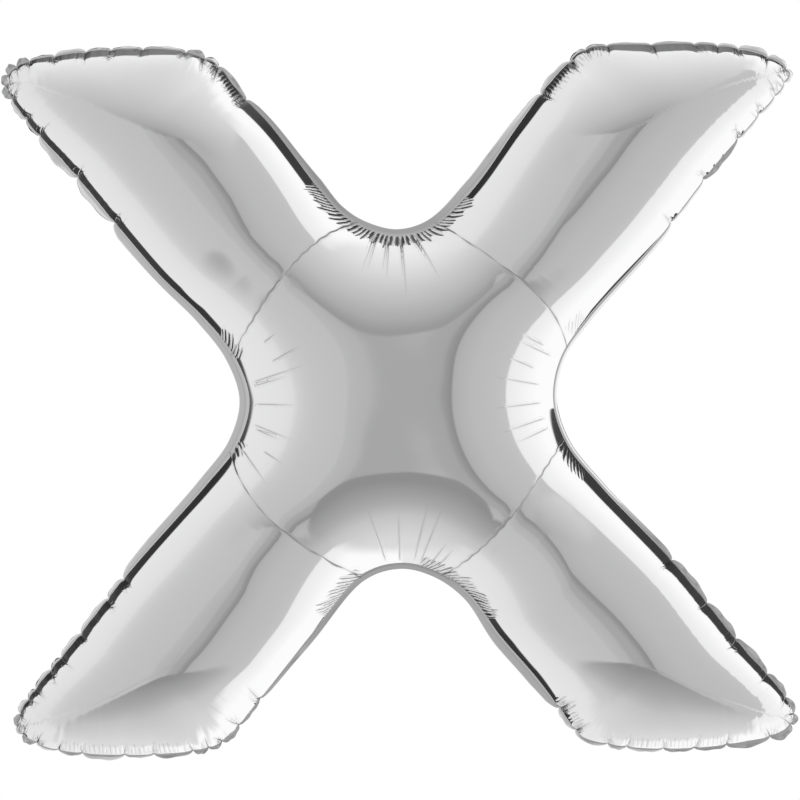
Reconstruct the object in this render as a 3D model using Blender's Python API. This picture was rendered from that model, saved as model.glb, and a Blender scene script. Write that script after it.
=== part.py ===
"""A large letter balloon of silver metallised film: the letter X, inflated.

Two flat sheets of film, cut to the letter, are heat sealed together round the edge and blown up.
The letter stands in the XZ plane, its front faces -Y, and the origin is the middle of the letter in
the plane of the seal. All sizes are in metres unless a name ends in MM.
"""

import bpy
import numpy as np

# Driving dimensions
MM = 0.001
FILM_WALL = 10 * MM
# The blown-up skin stands out by MIDDLE_HEIGHT in the middle and ARM_HEIGHT on the arms. Its crest
# lies ARM_HALF_WIDTH in from the seam on the arms and NOTCH_REACH in the notches, one passing into
# the other over NOTCH_FADE of seam. An arm's end closes over END_LENGTH.
MIDDLE_HEIGHT = 112 * MM
ARM_HEIGHT = 107 * MM
MIDDLE_RADIUS = 60 * MM
MIDDLE_FADE = 160 * MM
ARM_HALF_WIDTH = 107.5 * MM
NOTCH_REACH = 184 * MM
NOTCH_FADE = 160 * MM
END_LENGTH = 125 * MM
SEAL_THICK = 1.0 * MM
SEAL_WIDTH = 8.4 * MM
SEAL_WIDTH_AT_TUCK = 1.6 * MM
SEAL_LAP = 7 * MM
# The margin narrows over SEAL_TAPER beside the first and the last tuck of an arm, with points at
# these shares of it, and a scallop stands out by no more than this share of its own length
SEAL_TAPER = 26 * MM
SEAL_TAPER_SHARES = (0.12, 0.5, 1.0)
SCALLOP_SHARE = 0.42
GAP = 0.3 * MM

# The filling tail at the lower notch, folded up behind the letter: TAIL_FLAT is its straight end,
# TAIL_TAPER the length over which it narrows, and TAIL_FOLD where its first bend goes, as
# (back, up) from its root. Past TAIL_FOLD_UP along the skin it follows the skin.
TAIL_LENGTH = 78 * MM
TAIL_FLAT = 32 * MM
TAIL_THICK = 1.2 * MM
TAIL_ROOT_WIDTH = 44 * MM
TAIL_WIDTH = 30 * MM
TAIL_TAPER = 16 * MM
TAIL_CLEARANCE = 5.0 * MM
TAIL_FOLD = ((0, 0), (14 * MM, 4.5 * MM), (27 * MM, 12 * MM))
TAIL_FOLD_UP = 46 * MM
TAIL_BENDS = 8
VALVE_LENGTH = 9 * MM
VALVE_WIDTH = 21 * MM
VALVE_THICK = 0.6 * MM

# Grid of one arm of one panel
ROWS_ALONG = 18
ROWS_ACROSS = 14
SEAM_STEPS = 14
SEAL_STEP = 15 * MM
SEAM_PROBE = 3 * MM
SHARP_EDGE = np.radians(40)

# The seam line in millimetres from the middle, (right, up), clockwise seen from the front. Each notch
# is the innermost point between two arms, and each arm runs from one notch, out along a side, across
# its end, and back along its other side.
NOTCHES = {
    "left": (-182, 0),
    "top": (-2, 198),
    "right": (185, 0),
    "bottom": (2, -197),
}
ARMS = {
    "upper_left": {
        "from": "left",
        "to": "top",
        "side_out": ((-199, 51), (-236, 99), (-287, 149), (-385, 266), (-448, 338)),
        "end": ((-471, 380), (-455, 400), (-408, 412), (-341, 419), (-253, 416), (-216, 400)),
        "side_back": ((-197, 378), (-186, 364), (-154, 331), (-98, 259), (-69, 226), (-43, 209)),
        # Lengths of seam between one tuck and the next, the first counted from the notch
        "tucks": (268, 70, 67, 25, 30, 18, 15, 15, 17, 31, 38, 30, 38, 52, 24, 19, 52),
    },
    "upper_right": {
        "from": "top",
        "to": "right",
        "side_out": ((39, 209), (88, 255), (142, 329), (179, 378)),
        "end": ((204, 405), (222, 419), (247, 424), (300, 425), (352, 426), (404, 421), (445, 409), (466, 392)),
        "side_back": ((459, 374), (432, 342), (366, 264), (308, 189), (228, 100), (194, 50)),
        "tucks": (248, 52, 24, 26, 54, 51, 28, 25, 37, 27, 19, 20, 29, 39, 63, 64),
    },
    "lower_right": {
        "from": "right",
        "to": "bottom",
        "side_out": ((201, -51), (241, -101), (328, -192), (403, -284), (464, -356)),
        "end": ((473, -380), (458, -397), (395, -412), (315, -417), (249, -411), (218, -401)),
        "side_back": ((192, -369), (159, -328), (119, -282), (82, -232), (43, -206)),
        "tucks": (242, 66, 55, 56, 36, 22, 15, 30, 53, 39, 37, 44, 23, 43, 33),
    },
    "lower_left": {
        "from": "bottom",
        "to": "left",
        "side_out": ((-43, -211), (-104, -282), (-163, -355)),
        "end": ((-211, -409), (-248, -420), (-371, -423), (-428, -412), (-456, -392)),
        "side_back": ((-451, -370), (-379, -277), (-315, -196), (-232, -101), (-195, -51)),
        "tucks": (238, 40, 29, 18, 19, 47, 35, 51, 29, 28, 19, 13, 16, 20, 16, 29, 19, 37, 53, 30),
    },
}


# The seam line


def rounded_through(points, steps):
    """A closed smooth curve through the points: between two of them it is the cubic whose slopes at
    the ends follow the chords to the next points on either side (a centripetal Catmull-Rom curve)."""
    before, start, stop, after = (np.roll(points, shift, axis=0) for shift in (1, 0, -1, -2))
    knots = [np.zeros(len(points))]
    for a, b in ((before, start), (start, stop), (stop, after)):
        knots.append(knots[-1] + np.sqrt(np.linalg.norm(b - a, axis=1)))
    k0, k1, k2, k3 = (knot[:, None, None] for knot in knots)
    t = k1 + (k2 - k1) * (np.arange(steps) / steps)[None, :, None]
    p0, p1, p2, p3 = (p[:, None, :] for p in (before, start, stop, after))
    a1 = (p0 * (k1 - t) + p1 * (t - k0)) / (k1 - k0)
    a2 = (p1 * (k2 - t) + p2 * (t - k1)) / (k2 - k1)
    a3 = (p2 * (k3 - t) + p3 * (t - k2)) / (k3 - k2)
    b1 = (a1 * (k2 - t) + a2 * (t - k0)) / (k2 - k0)
    b2 = (a2 * (k3 - t) + a3 * (t - k1)) / (k3 - k1)
    return ((b1 * (k2 - t) + b2 * (t - k1)) / (k2 - k1)).reshape(-1, 2)


def seam_stretches():
    """The seam as smooth polylines: for each arm its side out, its end and its side back."""
    corners = []
    cuts = {}
    for name, arm in ARMS.items():
        cuts[name] = [len(corners)]
        corners.append(NOTCHES[arm["from"]])
        corners.extend(arm["side_out"])
        cuts[name].append(len(corners))
        corners.extend(arm["end"])
        cuts[name].append(len(corners) - 1)
        corners.extend(arm["side_back"])
        cuts[name].append(len(corners))
    line = rounded_through(np.array(corners, float) * MM, SEAM_STEPS)
    line = np.vstack([line, line[:1]])
    return {
        name: [line[a * SEAM_STEPS : b * SEAM_STEPS + 1] for a, b in zip(cut[:-1], cut[1:])]
        for name, cut in cuts.items()
    }


def lengths_along(line):
    return np.concatenate([[0.0], np.cumsum(np.linalg.norm(np.diff(line, axis=0), axis=1))])


def place_on(line, share):
    """The points at these shares of the line's length."""
    along = lengths_along(line)
    wanted = np.asarray(share) * along[-1]
    return np.stack([np.interp(wanted, along, line[:, k]) for k in (0, 1)], axis=-1)


def arm_sheet(stretches, u, v):
    """One arm laid flat: u runs from the letter's middle (0) to the arm's end (1) and v from its first
    side (-1) to its second (1). The four edges are the two sides, the end, and the pair of lines from
    the notches to the middle, and the inside is their straight blend (a Coons patch)."""
    side_out, end, side_back = stretches
    back = side_back[::-1]
    t = (v + 1) / 2
    first, second = place_on(side_out, u), place_on(back, u)
    notch_a, notch_b = side_out[0], back[0]
    inner = np.where(v[..., None] < 0, notch_a, notch_b) * np.abs(v)[..., None]
    outer = place_on(end, t)
    u, t = u[..., None], t[..., None]
    corners = (1 - t) * ((1 - u) * notch_a + u * end[0]) + t * ((1 - u) * notch_b + u * end[-1])
    return (1 - t) * first + t * second + (1 - u) * inner + u * outer - corners


def drawn_in(stretches, u, v, depth):
    """Grid places moved in from the seam by about this depth, measured across and along the arm."""
    span = arm_sheet(stretches, u, v * 0 + 1) - arm_sheet(stretches, u, v * 0 - 1)
    notch = np.where(v < 0, np.linalg.norm(stretches[0][0]), np.linalg.norm(stretches[-1][-1]))
    half_width = np.where(u > 0, np.linalg.norm(span, axis=-1) / 2, notch)
    length = lengths_along(stretches[0])[-1]
    return u * (1 - depth / length), v * (1 - depth / half_width)


SEAM = seam_stretches()


# The blown-up panels


def rows_across():
    """Grid places from side to side, crowded towards the seam as a circle's points are."""
    return np.sin(np.linspace(-1, 1, ROWS_ACROSS + 1) * np.pi / 2)


def rows_along():
    """Grid places from the middle out, crowded at the end of the arm and a little at the notches."""
    even = np.linspace(0, 1, ROWS_ALONG + 1)
    return (np.sin(even * np.pi / 2) + (1 - np.cos(even * np.pi)) / 2) / 2


def nearest_on(points, line):
    """How far each point is from a line, and how far along it the nearest spot lies."""
    start, way = line[:-1], np.diff(line, axis=0)
    square = (way**2).sum(axis=1)
    share = np.clip(((points[:, None] - start) * way).sum(axis=-1) / square, 0, 1)
    gap = ((start + way * share[..., None] - points[:, None]) ** 2).sum(axis=-1)
    pick = gap.argmin(axis=1)
    row = np.arange(len(pick))
    along = lengths_along(line)
    spot = along[pick] + share[row, pick] * np.sqrt(square)[pick]
    return np.sqrt(gap[row, pick]), spot


def ease(x):
    """From 0 to 1 with a soft start and stop: 3 x squared less 2 x cubed."""
    x = np.clip(x, 0, 1)
    return x * x * (3 - 2 * x)


def blown_height(points, to_end, arm, wall):
    """How far one arm's film stands out. On the crest it has its full height. Towards each of the two
    seams beside it, it falls by a factor of x, which runs from 0 on the crest to 1 on the seam: on
    the arm the root of 1 - x squared, which is a circle, and in the notch, where the film is pulled
    tight, 1 - x to the fourth. Towards the arm's end it falls as a circle does. The inner skin is
    the same form with every length less by the wall."""
    from_middle = ease((np.linalg.norm(points, axis=1) - MIDDLE_RADIUS) / MIDDLE_FADE)
    height = MIDDLE_HEIGHT + (ARM_HEIGHT - MIDDLE_HEIGHT) * from_middle - wall
    stretches = list(SEAM.values())
    for index in (arm, (arm + 1) % len(stretches)):
        back, out = stretches[index - 1][2], stretches[index][0]
        distance, spot = nearest_on(points, np.vstack([back, out[1:]]))
        tight = 1 - ease(np.abs(spot - lengths_along(back)[-1]) / NOTCH_FADE)
        reach = ARM_HALF_WIDTH + (NOTCH_REACH - ARM_HALF_WIDTH) * tight - wall
        x = np.clip(1 - np.maximum(distance - wall, 0) / reach, 0, 1)
        height = height * (1 - x ** (2 + 2 * tight)) ** (0.5 + 0.5 * tight)
    closing = np.clip(1 - np.maximum(to_end - wall, 0) / (END_LENGTH - wall), 0, 1)
    return height * np.sqrt(1 - closing**2)


def skin(wall):
    """One skin of the whole letter, drawn in from the seam by the wall: flat points, heights, quads
    and the loop of point numbers round its edge."""
    u, v = np.meshgrid(rows_along(), rows_across(), indexing="ij")
    number = np.arange(u.size).reshape(u.shape)
    around = [number[:-1, :-1], number[1:, :-1], number[1:, 1:], number[:-1, 1:]]
    quads = np.stack(around, axis=-1).reshape(-1, 4)
    edge = np.concatenate([number[:-1, 0], number[-1, :-1], number[:0:-1, -1]])
    points, heights, all_quads, loop = [], [], [], []
    for index, stretches in enumerate(SEAM.values()):
        drawn_u, drawn_v = drawn_in(stretches, u, v, wall)
        flat = arm_sheet(stretches, drawn_u, drawn_v).reshape(-1, 2)
        first, second = lengths_along(stretches[0])[-1], lengths_along(stretches[2])[-1]
        length = first + (second - first) * (drawn_v + 1) / 2
        points.append(flat)
        heights.append(blown_height(flat, ((1 - drawn_u) * length).reshape(-1), index, wall))
        all_quads.append(quads + index * u.size)
        loop.append(edge + index * u.size)
    points, heights, loop = np.vstack(points), np.concatenate(heights), np.concatenate(loop)
    heights[loop] = 0.0
    places = np.round(points / (0.01 * MM)).astype(int)
    _, first, weld = np.unique(places, axis=0, return_index=True, return_inverse=True)
    weld = weld.reshape(-1)
    return points[first], heights[first], weld[np.vstack(all_quads)], weld[loop]


def make_object(name, vertices, faces, material):
    mesh = bpy.data.meshes.new(name)
    mesh.from_pydata(vertices.tolist(), [], faces.tolist())
    mesh.validate()
    mesh.shade_smooth()
    mesh.set_sharp_from_angle(angle=SHARP_EDGE)
    mesh.materials.append(material)
    made = bpy.data.objects.new(name, mesh)
    bpy.context.scene.collection.objects.link(made)
    return made


def film_panel(name, towards, material):
    """One sheet of film, blown up: the outer skin, the inner skin a wall's thickness inside it, and
    the flat rim that lies on the seal. towards is -1 for the front sheet and 1 for the back."""
    outer, outer_height, quads, loop = skin(0.0)
    inner, inner_height, inner_quads, inner_loop = skin(FILM_WALL)
    base = SEAL_THICK / 2 + GAP
    vertices = []
    for flat, height in ((outer, outer_height), (inner, inner_height)):
        vertices.append(np.stack([flat[:, 0], towards * (base + height), flat[:, 1]], axis=1))
    shift = len(outer)
    inner_loop = inner_loop + shift
    rim = np.stack([loop, inner_loop, np.roll(inner_loop, -1), np.roll(loop, -1)], axis=1)
    faces = np.vstack([quads, inner_quads[:, ::-1] + shift, rim])
    if towards < 0:
        faces = faces[:, ::-1]
    return make_object(name, np.vstack(vertices), faces, material)


# The heat seal


def seal_width(distance, tucks):
    """The margin's width at these distances along one arm's seam: full beside the notches, and drawn
    down to a narrow neck at each tuck, with a round scallop between one tuck and the next."""
    stops = np.cumsum(np.array(tucks)) * MM
    width = np.full(len(distance), SEAL_WIDTH)
    inside = (distance >= stops[0]) & (distance <= stops[-1])
    index = np.clip(np.searchsorted(stops, distance[inside], side="right") - 1, 0, len(stops) - 2)
    start, stop = stops[index], stops[index + 1]
    share = (distance[inside] - start) / (stop - start)
    full = np.minimum(SEAL_WIDTH, SCALLOP_SHARE * (stop - start))
    width[inside] = SEAL_WIDTH_AT_TUCK + (full - SEAL_WIDTH_AT_TUCK) * np.sqrt(4 * share * (1 - share))
    beside = np.minimum(np.abs(distance - stops[0]), np.abs(distance - stops[-1]))
    near = ~inside & (beside < SEAL_TAPER)
    neck = SEAL_WIDTH_AT_TUCK + (SEAL_WIDTH - SEAL_WIDTH_AT_TUCK) * np.sqrt(beside / SEAL_TAPER)
    width[near] = neck[near]
    return width


def seal_places(tucks, length):
    """Distances along one arm's seam at which the margin has points: even ones beside the notches,
    and between two tucks closer ones towards each tuck, as a half circle's points are."""
    stops = np.cumsum(np.array(tucks)) * MM
    taper = SEAL_TAPER * np.array(SEAL_TAPER_SHARES)
    first, last = stops[0] - taper[-1], stops[-1] + taper[-1]
    places = [np.linspace(0, first, round(first / SEAL_STEP), endpoint=False), stops[0] - taper]
    for start, stop in zip(stops[:-1], stops[1:]):
        count = max(4, round((stop - start) / SEAL_STEP))
        places.append(start + (stop - start) * (1 - np.cos(np.arange(count) * np.pi / count)) / 2)
    places += [stops[-1:], stops[-1] + taper[:-1]]
    places.append(np.linspace(last, length, round((length - last) / SEAL_STEP), endpoint=False))
    return np.sort(np.concatenate(places))


def edge_seal(material):
    """The welded margin: a flat ring from under the panels' rims to its scalloped outer edge."""
    outer, inner = [], []
    for name, stretches in SEAM.items():
        line = np.vstack([stretches[0], stretches[1][1:], stretches[2][1:]])
        length = lengths_along(line)[-1]
        distance = seal_places(ARMS[name]["tucks"], length)
        spot = place_on(line, distance / length)
        ahead = place_on(line, np.clip(distance + SEAM_PROBE, 0, length) / length)
        behind = place_on(line, np.clip(distance - SEAM_PROBE, 0, length) / length)
        way = (ahead - behind) / np.linalg.norm(ahead - behind, axis=1)[:, None]
        outward = np.stack([-way[:, 1], way[:, 0]], axis=1)
        outer.append(spot + outward * seal_width(distance, ARMS[name]["tucks"])[:, None])
        inner.append(spot - outward * SEAL_LAP)
    outer, inner = np.vstack(outer), np.vstack(inner)
    count = len(outer)
    half = SEAL_THICK / 2
    vertices = []
    for ring, y in ((outer, -half), (inner, -half), (outer, half), (inner, half)):
        vertices.append(np.stack([ring[:, 0], np.full(count, y), ring[:, 1]], axis=1))
    this = np.arange(count)
    after = np.roll(this, -1)
    faces = []
    for a, b in ((0, 1), (1, 3), (3, 2), (2, 0)):
        a, b = a * count, b * count
        faces.append(np.stack([this + a, this + b, after + b, after + a], axis=1))
    return make_object("edge_seal", np.vstack(vertices), np.vstack(faces), material)


# The filling tail and its valve


def strip(name, path, widths, thick, middle, material):
    """A flat strip: a thin oblong section carried along a path in the YZ plane."""
    path = np.asarray(path)
    way = np.gradient(path, axis=0)
    way /= np.linalg.norm(way, axis=1)[:, None]
    side = np.stack([-way[:, 1], way[:, 0]], axis=1)
    half = np.asarray(widths)[:, None] / 2
    vertices = []
    for across, through in ((-1, -1), (1, -1), (1, 1), (-1, 1)):
        yz = path + side * through * thick / 2
        vertices.append(np.hstack([middle + across * half, yz]))
    vertices = np.stack(vertices, axis=1).reshape(-1, 3)
    rows = np.arange(len(path) - 1)[:, None] * 4
    faces = []
    for a, b in ((0, 1), (1, 2), (2, 3), (3, 0)):
        faces.append(np.hstack([rows + a, rows + a + 4, rows + b + 4, rows + b]))
    ends = np.array([[0, 1, 2, 3], np.array([3, 2, 1, 0]) + 4 * (len(path) - 1)])
    return make_object(name, vertices, np.vstack(faces + [ends]), material)


def skin_section():
    """The back skin where the plane x = 0 cuts it, from the lower notch to the middle, as (y, z)."""
    points, height, _, _ = skin(0.0)
    slope = NOTCHES["bottom"][0] / NOTCHES["bottom"][1]
    on_line = (np.abs(points[:, 0] - slope * points[:, 1]) < 0.1 * MM) & (points[:, 1] < 1 * MM)
    order = np.argsort(points[on_line][:, 1])
    return np.stack([height[on_line][order] + SEAL_THICK / 2 + GAP, points[on_line][order][:, 1]], axis=1)


def tail_route():
    """The middle of the tail's thickness, from its root at the margin to its mouth, as (y, z)."""
    skin = skin_section()
    along = lengths_along(skin)
    fine = np.linspace(0, along[-1], 60)
    dense = np.stack([np.interp(fine, along, skin[:, k]) for k in (0, 1)], axis=1)
    way = np.gradient(dense, axis=0)
    way /= np.linalg.norm(way, axis=1)[:, None]
    clear = dense + np.stack([way[:, 1], -way[:, 0]], axis=1) * (TAIL_CLEARANCE + TAIL_THICK / 2)
    root_z = NOTCHES["bottom"][1] * MM - SEAL_WIDTH + TAIL_THICK / 2 + GAP
    root = np.array([SEAL_THICK / 2 + GAP, root_z])
    path = np.vstack([root + np.array(TAIL_FOLD), clear[fine >= TAIL_FOLD_UP]])
    run = lengths_along(path)
    stops = np.linspace(0, TAIL_LENGTH - TAIL_FLAT, TAIL_BENDS)
    route = np.stack([np.interp(stops, run, path[:, k]) for k in (0, 1)], axis=1)
    chord = route[-1] - route[-2]
    end = route[-1] + chord / np.linalg.norm(chord) * TAIL_FLAT
    return np.vstack([route, end]), np.append(stops, TAIL_LENGTH)


def filling_tail(film, clear_film):
    """The neck leaves the margin's edge at the lower notch, is folded back and lies up the back skin.
    Its last stretch is flat. The clear valve film stands a little out of its mouth."""
    route, stops = tail_route()
    widths = np.interp(stops, [0, TAIL_TAPER], [TAIL_ROOT_WIDTH, TAIL_WIDTH])
    middle = NOTCHES["bottom"][0] * MM
    strip("filling_tail", route, widths, TAIL_THICK, middle, film)
    onward = (route[-1] - route[-2]) / TAIL_FLAT
    tongue = np.array([route[-1] + onward * GAP, route[-1] + onward * (GAP + VALVE_LENGTH)])
    strip("valve_tongue", tongue, [VALVE_WIDTH] * 2, VALVE_THICK, middle, clear_film)


# Materials and the whole balloon


def finish(name, colour, roughness, metallic, alpha=1.0):
    made = bpy.data.materials.new(name)
    made.use_nodes = True
    shader = made.node_tree.nodes["Principled BSDF"]
    shader.inputs["Base Color"].default_value = (*colour, 1.0)
    shader.inputs["Roughness"].default_value = roughness
    shader.inputs["Metallic"].default_value = metallic
    shader.inputs["Alpha"].default_value = alpha
    made.diffuse_color = (*colour, alpha)
    return made


def build():
    for old in list(bpy.data.objects):
        bpy.data.objects.remove(old, do_unlink=True)
    silver = finish("silver_film", (0.86, 0.86, 0.87), 0.12, 1.0)
    sealed = finish("sealed_margin", (0.70, 0.70, 0.71), 0.28, 1.0)
    clear_film = finish("clear_valve_film", (0.85, 0.88, 0.90), 0.25, 0.0, 0.6)
    film_panel("front_film_panel", -1, silver)
    film_panel("back_film_panel", 1, silver)
    edge_seal(sealed)
    filling_tail(silver, clear_film)


build()
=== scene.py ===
"""A large letter balloon of silver metallised film, blown up: the letter X, held in the air."""

import math

import bpy
import numpy as np
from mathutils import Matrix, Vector


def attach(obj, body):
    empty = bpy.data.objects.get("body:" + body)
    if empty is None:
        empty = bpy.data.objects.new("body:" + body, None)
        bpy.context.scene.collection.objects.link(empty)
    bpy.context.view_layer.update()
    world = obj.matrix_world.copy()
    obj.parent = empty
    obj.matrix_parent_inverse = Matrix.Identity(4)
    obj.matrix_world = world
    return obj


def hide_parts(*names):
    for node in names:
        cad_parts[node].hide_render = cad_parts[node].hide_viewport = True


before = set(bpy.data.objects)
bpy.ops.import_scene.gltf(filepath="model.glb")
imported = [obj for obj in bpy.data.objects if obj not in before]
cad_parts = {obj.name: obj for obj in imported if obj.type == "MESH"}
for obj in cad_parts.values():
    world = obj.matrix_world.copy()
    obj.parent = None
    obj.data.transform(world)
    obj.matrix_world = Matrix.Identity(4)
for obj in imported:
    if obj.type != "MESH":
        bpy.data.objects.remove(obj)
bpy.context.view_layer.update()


# The front film
# One sheet of bright metallised film, about 0.03 mm thick, cut to the letter, welded to its twin
# along the seam while flat, and blown up. Where the letter is round the film gathers into tucks. In
# the notches it is pulled tight and pleats run in from the seam.

MM = 0.001

# The seam in millimetres from the middle, (right, up), clockwise seen from the front, each arm from
# one notch out along a side, across its end and back. "crease" is where the arm folds against the
# round middle, from the first side to the second, and "tucks" are the lengths of seam between one
# gather and the next, the first counted from the notch.
NOTCHES = {"left": (-182, 0), "top": (-2, 198), "right": (185, 0), "bottom": (2, -197)}
ARMS = {
    "upper_left": {
        "from": "left",
        "to": "top",
        "side_out": ((-199, 51), (-236, 99), (-287, 149), (-385, 266), (-448, 338)),
        "end": ((-471, 380), (-455, 400), (-408, 412), (-341, 419), (-253, 416), (-216, 400)),
        "side_back": ((-197, 378), (-186, 364), (-154, 331), (-98, 259), (-69, 226), (-43, 209)),
        "crease": ((-192, 58), (-170, 92), (-153, 118), (-130, 150), (-95, 184), (-54, 204)),
        "tucks": (268, 70, 67, 25, 30, 18, 15, 15, 17, 31, 38, 30, 38, 52, 24, 19, 52),
    },
    "upper_right": {
        "from": "top",
        "to": "right",
        "side_out": ((39, 209), (88, 255), (142, 329), (179, 378)),
        "end": ((204, 405), (222, 419), (247, 424), (300, 425), (352, 426), (404, 421), (445, 409), (466, 392)),
        "side_back": ((459, 374), (432, 342), (366, 264), (308, 189), (228, 100), (194, 50)),
        "crease": ((48, 207), (82, 185), (115, 161), (144, 140), (163, 123), (181, 100), (195, 67)),
        "tucks": (248, 52, 24, 26, 54, 51, 28, 25, 37, 27, 19, 20, 29, 39, 63, 64),
    },
    "lower_right": {
        "from": "right",
        "to": "bottom",
        "side_out": ((201, -51), (241, -101), (328, -192), (403, -284), (464, -356)),
        "end": ((473, -380), (458, -397), (395, -412), (315, -417), (249, -411), (218, -401)),
        "side_back": ((192, -369), (159, -328), (119, -282), (82, -232), (43, -206)),
        "crease": ((194, -50), (169, -84), (149, -113), (122, -147), (102, -170), (79, -186), (56, -203)),
        "tucks": (242, 66, 55, 56, 36, 22, 15, 30, 53, 39, 37, 44, 23, 43, 33),
    },
    "lower_left": {
        "from": "bottom",
        "to": "left",
        "side_out": ((-43, -211), (-104, -282), (-163, -355)),
        "end": ((-211, -409), (-248, -420), (-371, -423), (-428, -412), (-456, -392)),
        "side_back": ((-451, -370), (-379, -277), (-315, -196), (-232, -101), (-195, -51)),
        "crease": ((-51, -203), (-87, -184), (-116, -166), (-146, -144), (-170, -116), (-186, -88), (-195, -67)),
        "tucks": (238, 40, 29, 18, 19, 47, 35, 51, 29, 28, 19, 13, 16, 20, 16, 29, 19, 37, 53, 30),
    },
}
SEAM_STEPS = 96
SEARCH_STRIDE = 16
MIDDLE_HEIGHT = 112 * MM
ARM_HEIGHT = 107 * MM
NOTCH_REACH = 184 * MM
ARM_HALF_WIDTH = 107.5 * MM
NOTCH_FADE = 160 * MM
END_LENGTH = 125 * MM
FILM_LIFT = 0.6 * MM
HUB_ROWS = 64
ARM_ROWS = 124
CROSS_ROWS = 128


def rounded_through(points, steps):
    """A closed smooth curve through the points: between two of them it is the cubic whose slopes at
    the ends follow the chords to the next points on either side (a centripetal Catmull-Rom curve)."""
    before, start, stop, after = (np.roll(points, shift, axis=0) for shift in (1, 0, -1, -2))
    knots = [np.zeros(len(points))]
    for a, b in ((before, start), (start, stop), (stop, after)):
        knots.append(knots[-1] + np.sqrt(np.linalg.norm(b - a, axis=1)))
    k0, k1, k2, k3 = (knot[:, None, None] for knot in knots)
    t = k1 + (k2 - k1) * (np.arange(steps) / steps)[None, :, None]
    p0, p1, p2, p3 = (p[:, None, :] for p in (before, start, stop, after))
    a1 = (p0 * (k1 - t) + p1 * (t - k0)) / (k1 - k0)
    a2 = (p1 * (k2 - t) + p2 * (t - k1)) / (k2 - k1)
    a3 = (p2 * (k3 - t) + p3 * (t - k2)) / (k3 - k2)
    b1 = (a1 * (k2 - t) + a2 * (t - k0)) / (k2 - k0)
    b2 = (a2 * (k3 - t) + a3 * (t - k1)) / (k3 - k1)
    return ((b1 * (k2 - t) + b2 * (t - k1)) / (k2 - k1)).reshape(-1, 2)


def lengths_along(line):
    return np.concatenate([[0.0], np.cumsum(np.linalg.norm(np.diff(line, axis=0), axis=1))])


def place_on(line, share):
    """The points at these shares of the line's length."""
    along = lengths_along(line)
    wanted = np.asarray(share) * along[-1]
    return np.stack([np.interp(wanted, along, line[:, k]) for k in (0, 1)], axis=-1)


def ease(x):
    """From 0 to 1 with a soft start and stop, 3 x squared less 2 x cubed."""
    x = np.clip(x, 0, 1)
    return x * x * (3 - 2 * x)


def seam_stretches():
    """The seam as one closed line, and for each arm where in it the side out, the end and the side
    back lie."""
    corners = []
    cuts = {}
    for name, arm in ARMS.items():
        cuts[name] = [len(corners)]
        corners.append(NOTCHES[arm["from"]])
        corners.extend(arm["side_out"])
        cuts[name].append(len(corners))
        corners.extend(arm["end"])
        cuts[name].append(len(corners) - 1)
        corners.extend(arm["side_back"])
        cuts[name].append(len(corners))
    line = rounded_through(np.array(corners, float) * MM, SEAM_STEPS)
    line = np.vstack([line, line[:1]])
    pieces = {}
    for name, cut in cuts.items():
        pieces[name] = [line[a * SEAM_STEPS : b * SEAM_STEPS + 1] for a, b in zip(cut[:-1], cut[1:])]
    return line, pieces


SEAM_LINE, SEAM = seam_stretches()
SEAM_ALONG = lengths_along(SEAM_LINE)


def nearest_on(points, line, along):
    """How far each point is from a line and where along the line its nearest spot lies. Every
    sixteenth point of the line gives the place roughly, the segments round it exactly."""
    count = len(line) - 1
    closed = np.allclose(line[0], line[-1])
    coarse = line[:-1:SEARCH_STRIDE]
    around = np.arange(-2 * SEARCH_STRIDE, 2 * SEARCH_STRIDE)
    distance, spot = np.empty(len(points)), np.empty(len(points))
    for low in range(0, len(points), 20000):
        block = points[low : low + 20000]
        near = ((coarse**2).sum(axis=1) - 2 * block @ coarse.T).argmin(axis=1) * SEARCH_STRIDE
        segment = near[:, None] + around
        segment = segment % count if closed else np.clip(segment, 0, count - 1)
        start, block = line[segment], block[:, None, :]
        way = line[segment + 1] - start
        share = np.clip(((block - start) * way).sum(axis=-1) / (way**2).sum(axis=-1), 0, 1)
        gap = ((start + way * share[..., None] - block) ** 2).sum(axis=-1)
        row, pick = np.arange(len(gap)), gap.argmin(axis=1)
        picked = segment[row, pick]
        distance[low : low + 20000] = np.sqrt(gap[row, pick])
        spot[low : low + 20000] = along[picked] + share[row, pick] * (along[picked + 1] - along[picked])
    return distance, spot


def crease_line(arm, stretches):
    """The fold between an arm and the round middle: a fourth-degree curve through its points, whose
    two ends are moved onto the seam. Also the share of each side at which it meets the seam."""
    points = np.array(ARMS[arm]["crease"], float) * MM
    share = lengths_along(points) / lengths_along(points)[-1]
    fine = np.linspace(0, 1, 321)
    line = np.stack([np.polyval(np.polyfit(share, points[:, k], 4), fine) for k in (0, 1)], axis=-1)
    meets = []
    for side, end in ((stretches[0], 0), (stretches[2][::-1], -1)):
        along = lengths_along(side)
        _, spot = nearest_on(points[[end]], side, along)
        meets.append(spot[0] / along[-1])
        fade = (1 - fine if end == 0 else fine)[:, None] ** 2
        line = line + (place_on(side, meets[-1]) - line[end]) * fade
    return line, meets


def patch(first, second, start, stop, u, v, power):
    """A sheet between four lines, u from start (0) to stop (1) and v from the first side (-1) to the
    second (1): the straight blend of the sides, corrected so that it meets start and stop. The
    correction fades with a power of the distance from them (a Coons patch)."""
    t = ((v + 1) / 2)[..., None]
    near, far = ((1 - u) ** power)[..., None], (u**power)[..., None]
    near_straight = (1 - t) * start[:, :1] + t * start[:, -1:]
    far_straight = (1 - t) * stop[:, :1] + t * stop[:, -1:]
    return (1 - t) * first + t * second + near * (start - near_straight) + far * (stop - far_straight)


def rows(count, first, last, middle=1.0):
    """Places from 0 to 1 whose spacing goes from first, over middle, to last, as shares."""
    at = (np.arange(count) + 0.5) / count
    spacing = np.interp(at, (0, 0.35, 0.65, 1), (first, middle, middle, last))
    return np.concatenate([[0], np.cumsum(spacing)]) / spacing.sum()


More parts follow.
